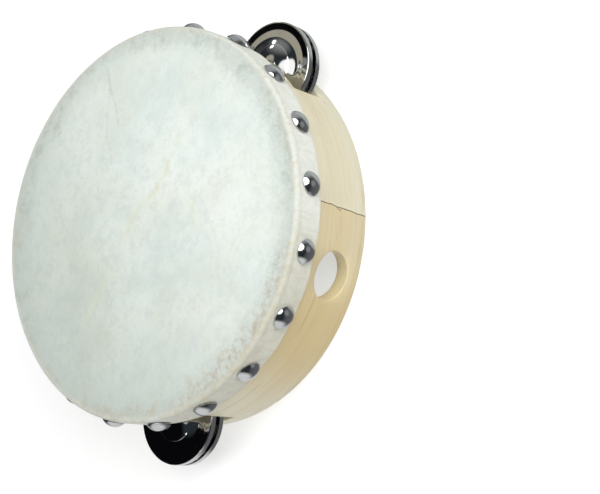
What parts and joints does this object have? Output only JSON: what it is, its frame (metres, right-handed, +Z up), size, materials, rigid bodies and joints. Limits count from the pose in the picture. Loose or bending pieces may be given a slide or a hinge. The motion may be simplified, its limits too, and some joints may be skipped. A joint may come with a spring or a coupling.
{
  "type": "tambourine",
  "caption": "Small round headed tambourine: a bent wooden hoop with a tacked skin, a thumb hole and loose jingles in slots.",
  "frame": {"origin": "centre of the open rim's plane, on the floor that the tambourine stands on", "axes": "+Z up through the hoop to the playing face, -Y towards the thumb hole, +X to the right of it"},
  "size_m": [0.1746, 0.1572, 0.0415],
  "materials": {
    "bentwood": "sanded, thin satin varnish",
    "hide": "matte, lightly mottled",
    "nickel_tack": "bright plated",
    "nickel_jingle": "bright plated, pressed",
    "steel_pin": "plain drawn wire"
  },
  "bodies": {
    "frame": {"hoop": "bentwood", "skin_head": "hide", "tack_01": "nickel_tack", "tack_02": "nickel_tack", "tack_03": "nickel_tack", "tack_04": "nickel_tack", "tack_05": "nickel_tack", "tack_06": "nickel_tack", "tack_07": "nickel_tack", "tack_08": "nickel_tack", "tack_09": "nickel_tack", "tack_10": "nickel_tack", "tack_11": "nickel_tack", "tack_12": "nickel_tack", "tack_13": "nickel_tack", "tack_14": "nickel_tack", "tack_15": "nickel_tack", "tack_16": "nickel_tack", "tack_17": "nickel_tack", "tack_18": "nickel_tack", "tack_19": "nickel_tack", "tack_20": "nickel_tack", "jingle_pin_1": "steel_pin", "jingle_pin_2": "steel_pin", "jingle_pin_3": "steel_pin", "jingle_pin_4": "steel_pin"},
    "lower_jingle_1": {"jingle_1_lower": "nickel_jingle"},
    "upper_jingle_1": {"jingle_1_upper": "nickel_jingle"},
    "lower_jingle_2": {"jingle_2_lower": "nickel_jingle"},
    "upper_jingle_2": {"jingle_2_upper": "nickel_jingle"},
    "lower_jingle_3": {"jingle_3_lower": "nickel_jingle"},
    "upper_jingle_3": {"jingle_3_upper": "nickel_jingle"},
    "lower_jingle_4": {"jingle_4_lower": "nickel_jingle"},
    "upper_jingle_4": {"jingle_4_upper": "nickel_jingle"}
  },
  "joints": [
    {"name": "jingle_1_spin", "type": "hinge", "parent": "frame", "child": "lower_jingle_1", "pos_m": [0.06895, -0.0224, 0.0135], "axis": [0, 0, 1], "continuous": true},
    {"name": "jingle_1_lift", "type": "slide", "parent": "frame", "child": "upper_jingle_1", "axis": [0, 0, 1], "range_m": [-0.0016, 0.0021]},
    {"name": "jingle_2_spin", "type": "hinge", "parent": "frame", "child": "lower_jingle_2", "pos_m": [0.04261, 0.05865, 0.0135], "axis": [0, 0, 1], "continuous": true},
    {"name": "jingle_2_lift", "type": "slide", "parent": "frame", "child": "upper_jingle_2", "axis": [0, 0, 1], "range_m": [-0.0016, 0.0021]},
    {"name": "jingle_3_spin", "type": "hinge", "parent": "frame", "child": "lower_jingle_3", "pos_m": [-0.04261, 0.05865, 0.0135], "axis": [0, 0, 1], "continuous": true},
    {"name": "jingle_3_lift", "type": "slide", "parent": "frame", "child": "upper_jingle_3", "axis": [0, 0, 1], "range_m": [-0.0016, 0.0021]},
    {"name": "jingle_4_spin", "type": "hinge", "parent": "frame", "child": "lower_jingle_4", "pos_m": [-0.06895, -0.0224, 0.0135], "axis": [0, 0, 1], "continuous": true},
    {"name": "jingle_4_lift", "type": "slide", "parent": "frame", "child": "upper_jingle_4", "axis": [0, 0, 1], "range_m": [-0.0016, 0.0021]}
  ]
}
